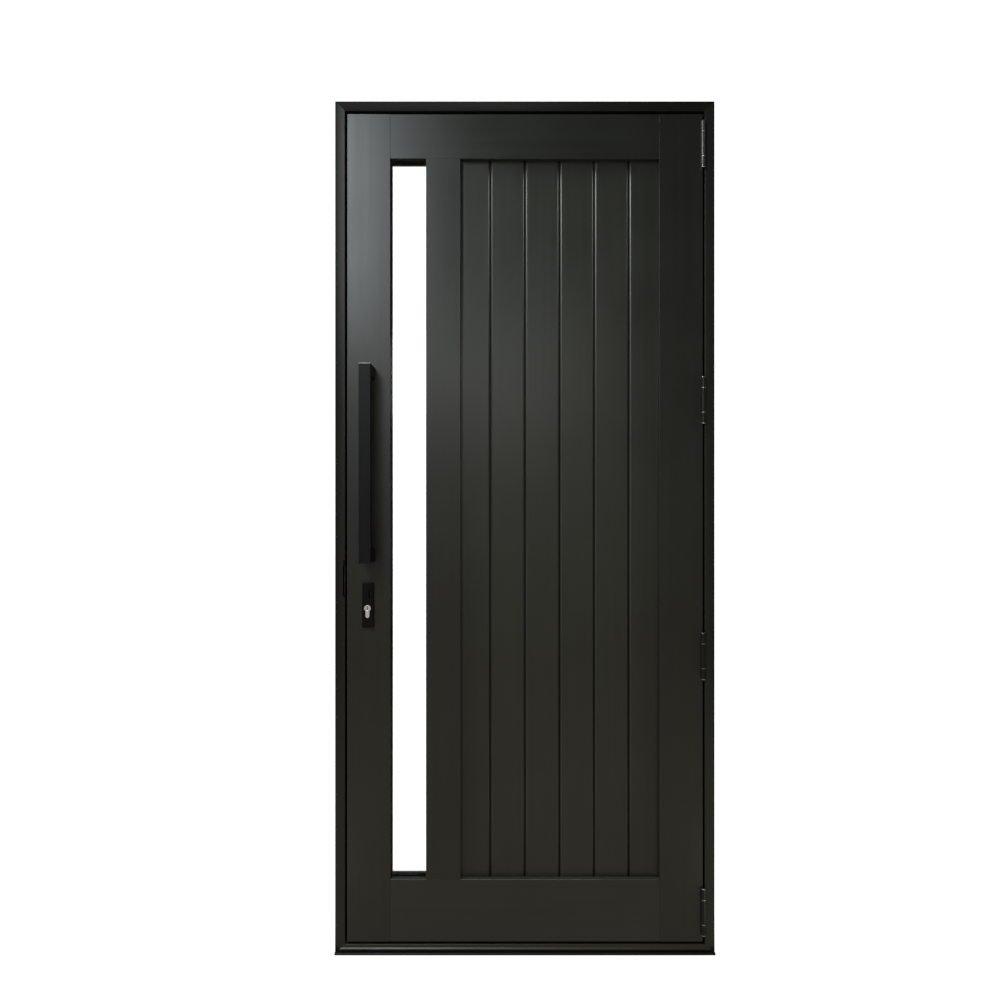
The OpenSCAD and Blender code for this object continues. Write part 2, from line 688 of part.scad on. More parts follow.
// A hollow board with a groove on its left edge and, but for the last one, a tongue on its right
module board(i) color(coat) {
    w = (i == BOARDS ? pitch - last_trim : pitch - board_gap);
    t = (i == BOARDS ? 0 : tongue_l);
    m = board_t / 2;
    groove = tongue_l + clear;
    side = (sqrt(2) - 1) * board_wall; // keeps the wall behind a chamfer as thick as the others
    translate([board_x0 + (i - 1) * pitch, board_y, board_z0]) linear_extrude(board_z1 - board_z0)
        difference() {
            polygon([[vee, 0], [w - vee, 0], [w, vee], [w, m - tongue_t / 2],
                     [w + t, m - tongue_t / 2], [w + t, m + tongue_t / 2], [w, m + tongue_t / 2],
                     [w, board_t - vee], [w - vee, board_t], [vee, board_t], [0, board_t - vee],
                     [0, m + tongue_t / 2 + seat], [groove, m + tongue_t / 2 + seat],
                     [groove, m - tongue_t / 2 - seat], [0, m - tongue_t / 2 - seat], [0, vee]]);
            polygon([[groove + board_wall, board_wall], [w - vee - side, board_wall],
                     [w - board_wall, vee + side], [w - board_wall, board_t - vee - side],
                     [w - vee - side, board_t - board_wall], [groove + board_wall, board_t - board_wall]]);
        }
}

// Foam tape between the lips and the boards
module panel_tape() color(rubber)
    ring([panel_x0 - tape_in - tape_w, open_z0 - tape_in - tape_w],
         [panel_x1 + tape_in + tape_w, open_z1 + tape_in + tape_w],
         tape_w, y_front + lip_d, board_y);

// Four hollow beads that fill a rebate from y to the back of the leaf
module beads(x0, x1, y) {
    t = bead_wall;
    for (x = [x0 - lip_w, x1]) difference() {
        box([x, y, rebate_z0], [x + lip_w, y_back, rebate_z1]);
        box([x + t, y + t, rebate_z0 - cut], [x + lip_w - t, y_back - t, rebate_z1 + cut]);
    }
    for (z = [rebate_z0, open_z1]) difference() {
        box([x0, y, z], [x1, y_back, z + lip_w]);
        box([x0 - cut, y + t, z + t], [x1 + cut, y_back - t, z + lip_w - t]);
    }
}

module panel_beads() color(coat) beads(panel_x0, panel_x1, panel_bead_y);

// ---- Glass ----

module pane(y) box([unit_x0, y, unit_z0], [unit_x1, y + pane_t, unit_z1]);
module glass_outer_pane() color("#d9e6e2", 0.5) pane(pane_y0);
module glass_inner_pane() color("#e8efee", 0.7) pane(pane_y1);

module glass_spacer() color(mill)
    ring([unit_x0 + spacer_in, unit_z0 + spacer_in], [unit_x1 - spacer_in, unit_z1 - spacer_in],
         spacer_h, cavity_y0, pane_y1);

module gasket(y0, y1)
    ring([unit_x0, unit_z0], [unit_x1, unit_z1], edge_cover, y0, y1);
module glazing_gasket_outer() color(rubber) gasket(y_front + lip_d, pane_y0);
module glazing_gasket_inner() color(rubber) gasket(unit_back, glass_bead_y);
module glazing_beads() color(coat) beads(glass_x0, glass_x1, glass_bead_y);

module setting_blocks() color(rubber) for (s = [-1, 1])
    translate([(glass_x0 + glass_x1) / 2 + s * glass_w / 4, 0, 0])
        box([-block_l / 2, pane_y0, rebate_z0], [block_l / 2, unit_back, unit_z0]);

// ---- Pull handles ----

module handle_bolt_places() for (z = [handle_post / 2, handle_l - handle_post / 2])
    translate([edge_x + handle_in, y_front, leaf_z + handle_z + z]) children();

// A handle of square section: its back is on y = 0 and it stands out towards -Y
module pull_handle() difference() {
    intersection() {
        along_x(-handle_w / 2, handle_w / 2) difference() {
            polygon(concat(
                arc([arris - handle_out, handle_l - arris], arris, 90, 180),
                arc([arris - handle_out, arris], arris, 180, 270),
                [[0, 0], [0, handle_l]]));
            polygon([[handle_bar - handle_out, handle_post], [cut, handle_post],
                     [cut, handle_l - handle_post], [handle_bar - handle_out, handle_l - handle_post]]);
        }
        linear_extrude(handle_l)
            polygon(front_rounded([-handle_w / 2, -handle_out], [handle_w / 2, 0], arris));
    }
    for (z = [handle_post / 2, handle_l - handle_post / 2])
        rod_y([0, -handle_out / 2, z], handle_bolt_r + snug, handle_out / 2 + cut);
}

module pull_handle_outside() color(black)
    translate([edge_x + handle_in, y_front, leaf_z + handle_z]) pull_handle();
module pull_handle_inside() color(black)
    translate([edge_x + handle_in, y_back, leaf_z + handle_z]) mirror([0, 1, 0]) pull_handle();

bolt_short = 2; // room between a bolt's end and the bottom of its hole
module handle_bolts() color(mill) handle_bolt_places()
    rod_y([0, bolt_short - handle_out / 2, 0], handle_bolt_r, leaf_t + handle_out - 2 * bolt_short);

// ---- Lock ----

// The outline of the profile cylinder, grown by gap
module euro_outline(gap) translate([lock_x, lock_z]) {
    circle(r = cyl_head_r + gap);
    translate([0, -cyl_foot]) circle(r = cyl_body_r + gap);
    translate([-cyl_body_r - gap, -cyl_foot]) square([2 * (cyl_body_r + gap), cyl_foot]);
}

module plate_screw_places() for (z = plate_screw_z)
    translate([lock_x, y_back, lock_z + z]) children();

// A plate with a rounded front, its back on y = 0 and standing out towards -Y
module plate_blank() intersection() {
    translate([0, 0, -plate_h / 2]) linear_extrude(plate_h)
        polygon(front_rounded([-plate_w / 2, -plate_t], [plate_w / 2, 0], arris));
    along_x(-plate_w / 2, plate_w / 2) polygon(concat(
        arc([arris - plate_t, plate_h / 2 - arris], arris, 90, 180),
        arc([arris - plate_t, arris - plate_h / 2], arris, 180, 270),
        [[0, -plate_h / 2], [0, plate_h / 2]]));
}

module lock_plate_outside() color(black) difference() {
    translate([lock_x, y_front, lock_z + plate_rise]) plate_blank();
    along_y(y_front - plate_t - cut, y_front + cut) {
        euro_outline(seat);
        translate([lock_x + slot_x, lock_z + slot_z])
            polygon(rounded([-slot_w / 2, -slot_h / 2], [slot_w / 2, slot_h / 2], slot_w / 2 - seat));
    }
    plate_screw_places() rod_y([0, plate_skin - leaf_t - plate_t, 0], plate_screw_r + snug, plate_t);
}

module lock_plate_inside() color(black) difference() {
    translate([lock_x, y_back, lock_z + plate_rise]) mirror([0, 1, 0]) plate_blank();
    along_y(y_back - cut, y_back + plate_t + cut) euro_outline(seat);
    plate_screw_places() translate([0, plate_t, 0]) rotate([-90, 0, 0])
        csk_hole(plate_t, plate_screw_r, 2 * plate_screw_r);
}

module lock_plate_screws() color(black) plate_screw_places() translate([0, plate_t, 0])
    rotate([-90, 0, 0]) csk_screw(2 * plate_t + leaf_t - plate_skin - cut, plate_screw_r, 2 * plate_screw_r);

module face_screw_places() for (z = [faceplate_z + face_screw_in, faceplate_z + faceplate_h - face_screw_in])
    translate([edge_x, y_mid, z]) rotate([0, -90, 0]) children();

// Holes in the face plate and the case front for the dead bolt, the roller and the cylinder's screw
module bolt_holes(x0, x1) {
    t = bolt_t / 2 + seat;
    r = roller_r + clear;
    h = roller_h / 2 + fork_t + clear;
    box([x0, y_mid - t, lock_z - bolt_h / 2 - seat], [x1, y_mid + t, lock_z + bolt_h / 2 + seat]);
    box([x0, y_mid - r, roller_z - h], [x1, y_mid + r, roller_z + h]);
    rod_x([x0, y_mid, lock_z - cyl_foot], cyl_screw_r + seat, x1 - x0);
}

module lock_faceplate() color(chrome) difference() {
    box([edge_x, y_mid - faceplate_w / 2, faceplate_z],
        [case_x, y_mid + faceplate_w / 2, faceplate_z + faceplate_h]);
    bolt_holes(edge_x - cut, case_x + cut);
    face_screw_places() csk_hole(wall);
    translate([edge_x, y_mid, lock_z - cyl_foot]) rotate([0, -90, 0])
        csk_hole(wall, cyl_screw_r, cyl_screw_head_r);
}

// The case: a thin box with a flange behind the face plate
module lock_case() color(mill) difference() {
    union() {
        difference() {
            box([case_x, y_mid - case_t / 2, case_z],
                [case_x + case_d, y_mid + case_t / 2, case_z + case_h]);
            box([case_x + case_wall, y_mid - case_t / 2 + case_wall, case_z + case_wall],
                [case_x + case_d - case_wall, y_mid + case_t / 2 - case_wall, case_z + case_h - case_wall]);
        }
        box([case_x, y_mid - faceplate_w / 2 + clear, faceplate_z + clear],
            [case_x + case_wall, y_mid + faceplate_w / 2 - clear, faceplate_z + faceplate_h - clear]);
    }
    bolt_holes(case_x - cut, case_x + case_wall + cut);
    along_y(y_mid - case_t, y_mid + case_t) euro_outline(clear);
    plate_screw_places() rod_y([0, -leaf_t, 0], plate_screw_r + clear, leaf_t);
    face_screw_places() rotate([180, 0, 0]) cylinder(h = wall + case_wall + cut, r = screw_r + snug);
}

module faceplate_screws() color(chrome) face_screw_places() csk_screw(wall + case_wall + face_screw_past);

module cylinder_body() color(chrome) difference() {
    along_y(cyl_y0, cyl_y1) euro_outline(0);
    rod_y([lock_x, cyl_y0 - cut, lock_z], plug_r + fit, cyl_y1 - cyl_y0 + 2 * cut);
    box([lock_x - 2 * cyl_head_r, y_mid - cam_t / 2 - clear, lock_z - cam_r - clear],
        [lock_x + 2 * cyl_head_r, y_mid + cam_t / 2 + clear, lock_z + 2 * cyl_head_r]);
    rod_x([lock_x - 2 * cyl_head_r, y_mid, lock_z - cyl_foot], cyl_screw_r + snug, 4 * cyl_head_r);
}

module cylinder_screw() color(chrome)
    translate([edge_x, y_mid, lock_z - cyl_foot]) rotate([0, -90, 0])
        csk_screw(backset + cyl_body_r, cyl_screw_r, cyl_screw_head_r);

// The plug that takes the key, with its keyway
key_w = 2.4;
key_h = 9;
key_l = 28; // how far the keyway goes in
key_skin = 0.8; // left over the keyway
module key_plug() color(chrome) difference() {
    rod_y([lock_x, cyl_y0, lock_z], plug_r, y_mid - cam_t / 2 - clear - cyl_y0);
    box([lock_x - key_w / 2, cyl_y0 - cut, lock_z + plug_r - key_skin - key_h],
        [lock_x + key_w / 2, cyl_y0 + key_l, lock_z + plug_r - key_skin]);
}

// The inside turn: its grip, its shaft and the cam between the two halves of the cylinder
turn_l = 30;
turn_w = 9;
turn_d = 18;
turn_collar_r = 8;
turn_collar_h = 4;
module thumbturn() color(chrome) translate([lock_x, 0, lock_z]) {
    rod_y([0, y_mid - cam_t / 2, 0], plug_r, cyl_y1 + clear - y_mid + cam_t / 2);
    rod_y([0, cyl_y1 + clear, 0], turn_collar_r, turn_collar_h);
    box([-cam_w / 2, y_mid - cam_t / 2, -cam_r], [cam_w / 2, y_mid + cam_t / 2, 0]);
    along_y(cyl_y1 + clear + turn_collar_h, cyl_y1 + clear + turn_collar_h + turn_d) {
        for (s = [-1, 1]) translate([0, s * (turn_l - turn_w) / 2]) circle(r = turn_w / 2);
        square([turn_w, turn_l - turn_w], center = true);
    }
}

// The dead bolt, drawn back: its head, and an arm that is guided over the cam
module deadbolt() color(chrome) {
    box([bolt_x0, y_mid - bolt_t / 2, lock_z - bolt_h / 2],
        [bolt_x1, y_mid + bolt_t / 2, lock_z + bolt_h / 2]);
    box([bolt_x1 - bolt_arm_h, y_mid - bolt_t / 2, lock_z],
        [bolt_x1, y_mid + bolt_t / 2, lock_z + bolt_arm_z + bolt_arm_h]);
    box([bolt_x1 - bolt_arm_h, y_mid - bolt_t / 2, lock_z + bolt_arm_z],
        [lock_x + cam_r, y_mid + bolt_t / 2, lock_z + bolt_arm_z + bolt_arm_h]);
}

// The sprung block that carries the roller between two cheeks
module roller_carriage() color(mill) {
    h = roller_h / 2 + fork_t;
    x = roller_x + roller_r + clear;
    box([x, y_mid - roller_r, roller_z - h], [x + carriage_l, y_mid + roller_r, roller_z + h]);
    for (s = [0, 1]) translate([0, 0, roller_z]) mirror([0, 0, s])
        box([roller_x - 2 * roller_pin_r, y_mid - cheek_w / 2, roller_h / 2],
            [x + cut, y_mid + cheek_w / 2, h]);
    translate([roller_x, y_mid, roller_z - h]) cylinder(h = 2 * h, r = roller_pin_r);
}

module roller() color("#e4e2da") translate([roller_x, y_mid, roller_z - roller_h / 2 + seat])
    difference() {
        cylinder(h = roller_h - 2 * seat, r = roller_r);
        translate([0, 0, -cut]) cylinder(h = roller_h + cut, r = roller_pin_r + fit);
    }

frame_head();
frame_jamb_lock();
frame_jamb_hinge();
frame_sill();
sub_sill();
corner_cleats();
weather_seal();
strike_plate();
strike_screws();
frame_leaf(1);  // hinge_1_frame_leaf
frame_leaf(2);  // hinge_2_frame_leaf
frame_leaf(3);  // hinge_3_frame_leaf
frame_leaf(4);  // hinge_4_frame_leaf
hinge_pins();
hinge_washers();
hinge_frame_screws();
lock_stile();
hinge_stile();
mid_stile();
top_rail();
bottom_rail();
rail_blocks();
board(1);  // board_1
board(2);  // board_2
board(3);  // board_3
board(4);  // board_4
board(5);  // board_5
board(6);  // board_6
panel_tape();
panel_beads();
glass_outer_pane();
glass_spacer();
glass_inner_pane();
glazing_gasket_outer();
glazing_gasket_inner();
glazing_beads();
setting_blocks();
pull_handle_outside();
pull_handle_inside();
handle_bolts();
lock_plate_outside();
lock_plate_inside();
lock_plate_screws();
lock_case();
lock_faceplate();
faceplate_screws();
cylinder_body();
cylinder_screw();
door_leaf(1);  // hinge_1_door_leaf
door_leaf(2);  // hinge_2_door_leaf
door_leaf(3);  // hinge_3_door_leaf
door_leaf(4);  // hinge_4_door_leaf
hinge_door_screws();
bottom_seal();
deadbolt();
thumbturn();
key_plug();
roller_carriage();
roller();
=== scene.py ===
# %% [markdown]
# # An entrance door with a glass strip, in its frame
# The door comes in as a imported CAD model: every solid already has its exact size and place, in
# metres, with +Y from outside to inside and the sill's underside at z = 0. This script gives it a
# camera, light, finishes and the fine pieces that CAD leaves plain. Loading the frame first, and
# keeping its box, lets every later size be worked out from the solids instead of being typed in.

# %% Load the frame
import bmesh
import bpy
import math
import random
from mathutils import Matrix, Vector


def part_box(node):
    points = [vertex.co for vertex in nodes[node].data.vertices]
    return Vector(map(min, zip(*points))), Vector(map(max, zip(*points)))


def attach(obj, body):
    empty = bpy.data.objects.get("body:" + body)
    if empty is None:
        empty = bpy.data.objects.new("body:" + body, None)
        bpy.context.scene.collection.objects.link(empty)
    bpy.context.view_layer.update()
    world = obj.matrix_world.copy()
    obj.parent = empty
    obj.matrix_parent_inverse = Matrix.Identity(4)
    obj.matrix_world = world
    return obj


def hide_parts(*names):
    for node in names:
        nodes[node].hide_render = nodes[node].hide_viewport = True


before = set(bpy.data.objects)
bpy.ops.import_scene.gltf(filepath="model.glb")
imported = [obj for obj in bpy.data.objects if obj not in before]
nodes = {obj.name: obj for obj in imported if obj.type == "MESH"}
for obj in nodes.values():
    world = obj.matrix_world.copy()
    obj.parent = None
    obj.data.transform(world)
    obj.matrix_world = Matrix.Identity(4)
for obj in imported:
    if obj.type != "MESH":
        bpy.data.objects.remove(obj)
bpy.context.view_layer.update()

scene = bpy.context.scene
mm = 0.001

# %% [markdown]
# The camera stands a little left of the middle of the door, at about chest height, and looks level.
# Tilting it down would make the uprights lean together, so it isn't tilted. Someone at a door stands
# about two metres away, and from there the side of the handle and the steps of the sill still show.
# The lens is worked out from the distance and from how much of the wall the picture should take in.

# %% Camera
door_front_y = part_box("lock_stile")[0].y
camera_x = -0.0644
camera_height = 1.1754
camera_distance = 1.9
view_width = 2.587
sensor_width = 36.0
nearest_seen = 0.05
farthest_seen = 50.0

camera_data = bpy.data.cameras.new("camera")
camera = bpy.data.objects.new("camera", camera_data)
scene.collection.objects.link(camera)
camera.location = (camera_x, door_front_y - camera_distance, camera_height)
camera.rotation_euler = (math.radians(90), 0, 0)
camera_data.sensor_width = sensor_width
camera_data.lens = sensor_width * camera_distance / view_width
camera_data.clip_start = nearest_seen
camera_data.clip_end = farthest_seen
scene.camera = camera
print("camera lens", round(camera_data.lens, 2), "mm, at", tuple(round(c, 3) for c in camera.location))

# %% [markdown]
# Every colour in this script is written as a hex code, the way a colour picker shows it. Blender
# mixes light in linear values, so one function turns a hex code into them. A second function adds
# one shader node, with its settings and its links, and is used for every node in the script: a
# finish then reads as a short recipe, where clicking the nodes together would leave no record.

# %% Colour and node helpers
def linear(code):
    parts = [int(code[i:i + 2], 16) / 255 for i in (1, 3, 5)]
    return tuple(c / 12.92 if c <= 0.04045 else ((c + 0.055) / 1.055) ** 2.4 for c in parts) + (1.0,)


def add(tree, kind, sockets=None, **settings):
    node = tree.nodes.new("ShaderNode" + kind)
    for name, value in settings.items():
        setattr(node, name, value)
    for name, value in (sockets or {}).items():
        if isinstance(value, bpy.types.NodeSocket):
            tree.links.new(value, node.inputs[name])
        else:
            node.inputs[name].default_value = value
    return node


def new_material(name):
    material = bpy.data.materials.new(name)
    material.use_nodes = True
    material.node_tree.nodes.clear()
    return material, material.node_tree


print("middle grey in linear values is", round(linear("#808080")[0], 3))

# %% [markdown]
# The surroundings are a white studio to the eye, but a dark coat in such a room would turn grey:
# satin paint mirrors whatever faces it. So the world is white to the camera and through the glass,
# and dim for the light that falls on the door. Light Path tells the rays apart: one that has been
# scattered by a surface on its way sees the dim side. A white sheet behind the door would do the
# same for one view only, and this works from all sides.

# %% World
backdrop_white = 1.5
dim_level = 0.015
unscattered = 0.5
world = bpy.data.worlds.new("white_studio")
world.use_nodes = True
scene.world = world
sky = world.node_tree
sky.nodes.clear()
ray = add(sky, "LightPath")
scattered = add(sky, "Math", {0: ray.outputs["Diffuse Depth"], 1: ray.outputs["Glossy Depth"]})
straight = add(sky, "Math", {0: scattered.outputs[0], 1: unscattered}, operation="LESS_THAN")
through = add(sky, "Math", {0: ray.outputs["Is Transmission Ray"], 1: straight.outputs[0]},
              operation="MULTIPLY")
seen = add(sky, "Math", {0: ray.outputs["Is Camera Ray"], 1: through.outputs[0]},
           operation="MAXIMUM")
white = add(sky, "Background", {"Color": linear("#ffffff"), "Strength": backdrop_white})
dim = add(sky, "Background", {"Color": linear("#f1eee6"), "Strength": dim_level})
either = add(sky, "MixShader", {0: seen.outputs[0], 1: dim.outputs[0], 2: white.outputs[0]})
add(sky, "OutputWorld", {"Surface": either.outputs[0]})
scene.view_settings.view_transform = "Standard"
scene.view_settings.look = "None"
print("world: white to the eye, dim light level", dim_level)

# %% [markdown]
# A dark satin coat shows light in two ways: a faint even tone, and a wide sheen in the shape of
# whatever shines on it. Point lamps would leave small hard spots, so every lamp here is an area
# light. Its strength is given as radiance, which is how bright its face looks, so that moving or
# resizing a lamp changes the spread of its sheen and not its brightness. Light linking keeps a lamp
# to some pieces or off others, as screens and black flags do in a studio.

# %% A lamp and its reach
def area_light(name, place, target, size, radiance, colour):
    data = bpy.data.lights.new(name, "AREA")
    data.shape = "RECTANGLE"
    data.size, data.size_y = size
    data.energy = radiance * math.pi * size[0] * size[1]
    data.color = linear(colour)[:3]
    lamp = bpy.data.objects.new(name, data)
    scene.collection.objects.link(lamp)
    lamp.location = place
    lamp.rotation_euler = (Vector(target) - Vector(place)).to_track_quat("-Z", "Y").to_euler()
    lamp.visible_camera = False
    return lamp


def light_reach(lamp, names, state):
    group = bpy.data.collections.new(lamp.name + "_reach")
    for name in names:
        group.objects.link(bpy.data.objects[name])
    for item in group.collection_objects:
        item.light_linking.link_state = state
    lamp.light_linking.receiver_collection = group


print("a lamp one metre square with radiance 1 takes", round(math.pi, 2), "W")

# %% [markdown]
# In front, soft daylight comes from high on the left, near enough to fade down the leaf, with broad
# weak light from the room, both sides and the floor. The other lamps are accents for a few pieces
# each. Two rake along the boards to draw their V-joints, and small ones pick out the left jamb, the
# head, the top edges of the handle and the sill, the top hinge, the lock cylinder and the lip of the
# bottom rail. One bright lamp for all would wash out what a dark door shows best, its edges. Each row
# gives the lamp's place, the point it faces, its width and height, its radiance and its colour.

# %% Lamps in front
front_lamps = {
    "window_left": ((-0.97, -1.9, 2.7), (-0.5, 0, 1.9), (0.42, 1.2), 13.6, "#eef7fb"),
    "room_high": ((-0.28, -3.0, 2.0), (-0.1, 0, 1.5), (1.5, 0.5), 3.0, "#f7faf4"),
    "window_edge": ((-0.97, -1.9, 2.7), (-0.5, 0, 1.9), (0.42, 1.2), 4.4, "#eef7f6"),
    "left_side": ((-2.7, -0.75, 1.7), (0.1, -0.03, 1.4), (0.9, 3.0), 1.8, "#f8f9f4"),
    "right_side": ((2.9, -0.75, 1.7), (0.1, -0.03, 1.4), (0.9, 3.0), 0.9, "#f6f6f4"),
    "rake_left": ((-2.7, -0.62, 3.5), (0.1, -0.03, 2.0), (0.8, 0.9), 42.0, "#f8f9f4"),
    "rake_right": ((2.9, -0.62, 3.5), (0.1, -0.03, 2.0), (0.8, 0.9), 28.0, "#f8f9f4"),
    "head_fill": ((-0.4, -1.5, 3.6), (-0.2, 0, 2.1), (1.4, 0.9), 0.55, "#ffffff"),
    "ceiling": ((-0.6, -1.3, 4.1), (-0.4, 0, 1.3), (1.2, 1.0), 12.0, "#ffffff"),
    "hinge_glint": ((0.95, -1.9, 3.0), (0.46, -0.05, 2.1), (0.4, 0.6), 9.0, "#fafaf6"),
    "cylinder_glint": ((-0.75, -1.95, 0.62), (-0.405, -0.06, 0.9), (0.5, 0.5), 0.4, "#ffffff"),
    "lip_glint": ((-0.1, -0.6, 3.9), (0.05, -0.045, 0.19), (1.8, 0.4), 38.0, "#ffffff"),
    "room_front": ((-0.2, -3.2, 0.9), (0, 0, 0.9), (3.2, 1.2), 0.34, "#fff4e4"),
    "floor_bounce": ((0, -1.66, 0.01), (0, -1.66, 1), (3.2, 3.2), 0.33, "#fff2e0"),
    "floor_left": ((-1.2, -0.3, 0.012), (-1.2, -0.3, 1), (1.2, 0.56), 0.9, "#fff2e0"),
    "floor_right": ((1.2, -0.3, 0.012), (1.2, -0.3, 1), (1.2, 0.56), 0.8, "#fff2e0"),
}
lamps = {name: area_light(name, *row) for name, row in front_lamps.items()}
print("lamps in front:", len(front_lamps))

# %% [markdown]
# The door is looked at from indoors too, and a coat this dark would be black there without lamps of
# its own. They are the same kinds: a window, the room, the floor and one side. Through the glass they
# would show as bright patches from the front, so each is told later to leave the panes out.

# %% Lamps behind
back_lamps = {
    "back_window": ((0.75, 2.2, 2.6), (0.3, 0, 1.6), (0.7, 1.3), 7.0, "#e6eeff"),
    "back_room": ((-0.3, 3.2, 1.8), (0, 0, 1.5), (2.4, 0.9), 1.6, "#f6f6f4"),
    "back_floor": ((0, 1.7, 0.01), (0, 1.7, 1), (3.4, 3.2), 0.5, "#fff2e0"),
    "back_side": ((-2.6, 1.4, 1.9), (0, 0.05, 1.2), (1.2, 2.4), 2.6, "#f6f6f4"),
}
lamps.update({name: area_light(name, *row) for name, row in back_lamps.items()})
print("lamps behind:", len(back_lamps))

# %% [markdown]
# The floor is a plain sheet that runs out of sight under the sill. It isn't part of the door, so it is
# marked as staging. It is kept out of the light's way: it neither shades anything nor sends light up
# into the dark coat, which is left to the lamps just above it.

# %% Floor
floor_size = 20.0
floor_mesh = bmesh.new()
bmesh.ops.create_grid(floor_mesh, x_segments=1, y_segments=1, size=floor_size / 2)
floor_data = bpy.data.meshes.new("floor")
floor_mesh.to_mesh(floor_data)
floor_mesh.free()
floor = bpy.data.objects.new("floor", floor_data)
scene.collection.objects.link(floor)
floor.visible_diffuse = False
floor.visible_glossy = False
floor.visible_shadow = False
print("floor", floor_size, "m wide")

# %% [markdown]
# The floor shines by itself like a light table, so it meets the white surroundings without a line,
# and Ambient Occlusion darkens its glow softly where the sill stands on it, as a painted contact
# shadow. A floor lit by the lamps would show their edges. It shines only for rays that nothing has
# scattered yet, so it isn't mirrored in the coat or in the reveals behind the glass.

# %% Floor paint
floor_glow = 1.45
contact_reach = 0.16
contact_samples = 8
contact_shadow_tones = ((0.2, "#bcbcba"), (0.95, "#ffffff"))
floor_paint, tree = new_material("pale_floor")
# Ambient Occlusion darkens the glow near the sill: a painted contact shadow.
near = add(tree, "AmbientOcclusion", {"Distance": contact_reach}, samples=contact_samples)
tone = add(tree, "ValToRGB", {"Fac": near.outputs["AO"]})
for stop, (position, colour) in zip(tone.color_ramp.elements, contact_shadow_tones):
    stop.position = position
    stop.color = linear(colour)
ray = add(tree, "LightPath")
scattered = add(tree, "Math", {0: ray.outputs["Diffuse Depth"], 1: ray.outputs["Glossy Depth"]})
level = add(tree, "MapRange", {"Value": scattered.outputs[0], "From Min": 0.0, "From Max": 1.0,
                               "To Min": floor_glow, "To Max": 0.0})
glow = add(tree, "Emission", {"Color": tone.outputs[0], "Strength": level.outputs[0]})
add(tree, "OutputMaterial", {"Surface": glow.outputs[0]})
floor_data.materials.append(floor_paint)
print("floor dims within", contact_reach, "m of what stands on it")

# %% [markdown]
# Frame and leaf are extruded aluminium with a dark satin powder coat. The powder is sprayed dry and
# melted in an oven, which leaves a skin with very shallow dimples, called orange peel, and a gloss
# that wanders a little from place to place. So the eye gets a broad soft sheen, not a mirror. A flat
# colour with one roughness would look like plastic film. Here noise in three sizes does the work:
# clouds and faint streaks along the member vary colour and gloss, and dimples go into the bump. The
# dimples are about 2 mm across and too shallow to see from here, so they're drawn a bit deeper.

# %% Powder coat
peel_cell = 2.2 * mm
peel_height = 0.02 * mm
cloud_size = 180 * mm
streaks_per_metre = 90.0
streak_share = 0.4
noise_span = (0.3, 0.7)
plastic_ior = 1.5
grain_up = (1, 1, 0.02)
grain_across = (0.02, 1, 1)


def powder_coat(name, colours, roughness, grain, shine=0.5):
    material, tree = new_material(name)
    place = add(tree, "TexCoord").outputs["Object"]
    clouds = add(tree, "TexNoise", {"Vector": place, "Scale": 1 / cloud_size, "Detail": 3.0})
    long_way = add(tree, "Mapping", {"Vector": place, "Scale": grain})
    streaks = add(tree, "TexNoise", {"Vector": long_way.outputs[0], "Scale": streaks_per_metre,
                                     "Detail": 2.0})
    mixed = add(tree, "Mix", {"Factor": streak_share, 2: clouds.outputs["Fac"],
                              3: streaks.outputs["Fac"]})
    gloss = add(tree, "MapRange", {"Value": mixed.outputs[0],
                                   "From Min": noise_span[0], "From Max": noise_span[1],
                                   "To Min": roughness[0], "To Max": roughness[1]})
    shade = add(tree, "ValToRGB", {"Fac": mixed.outputs[0]})
    for stop, position, colour in zip(shade.color_ramp.elements, noise_span, colours):
        stop.position = position
        stop.color = linear(colour)
    dimples = add(tree, "TexNoise", {"Vector": place, "Scale": 1 / peel_cell, "Detail": 1.0})
    peel = add(tree, "Bump", {"Height": dimples.outputs["Fac"], "Distance": peel_height,
                              "Strength": 1.0})
    skin = add(tree, "BsdfPrincipled", {"Base Color": shade.outputs[0], "IOR": plastic_ior,
                                        "Specular IOR Level": shine,
                                        "Roughness": gloss.outputs[0], "Normal": peel.outputs[0]})
    add(tree, "OutputMaterial", {"Surface": skin.outputs[0]})
    return material


coat_upright = powder_coat("powder_coated_aluminium_upright", ("#292a25", "#2f302a"),
                           (0.30, 0.37), grain_up)
coat_level = powder_coat("powder_coated_aluminium_level", ("#292a25", "#2f302a"),
                         (0.30, 0.37), grain_across)
coat_board = powder_coat("powder_coated_aluminium_board", ("#2a2b26", "#31322c"),
                         (0.31, 0.39), grain_up)
print("powder coats made, dimples", round(peel_cell / mm, 1), "mm across")

# %% [markdown]
# A CAD solid keeps its mesh, and takes a finish by having the material put in its slots. The streaks
# have to run along each member, as they do on an extrusion, so the uprights and the level members
# have their own coat, and the boards a slightly lighter one.

# %% Put the coat on
def finish_solid(names, material):
    for name in names:
        data = nodes[name].data
        data.materials.clear()
        data.materials.append(material)


uprights = ["frame_jamb_lock", "frame_jamb_hinge", "lock_stile", "hinge_stile", "mid_stile",
            "panel_beads", "glazing_beads"]
levels = ["frame_head", "frame_sill", "sub_sill", "top_rail", "bottom_rail"]
boards = ["board_%d" % i for i in range(1, 7)]
finish_solid(uprights, coat_upright)
finish_solid(levels, coat_level)
finish_solid(boards, coat_board)
print("coated", len(uprights + levels + boards), "solids")

# %% [markdown]
# The grip bars are aluminium too, but coated a flatter black, and the hinges are steel in a darker
# shade of the frame's colour. All of them come from the same spray booth, so they share the recipe
# instead of having one each: only colour, gloss and the length of the streaks change.

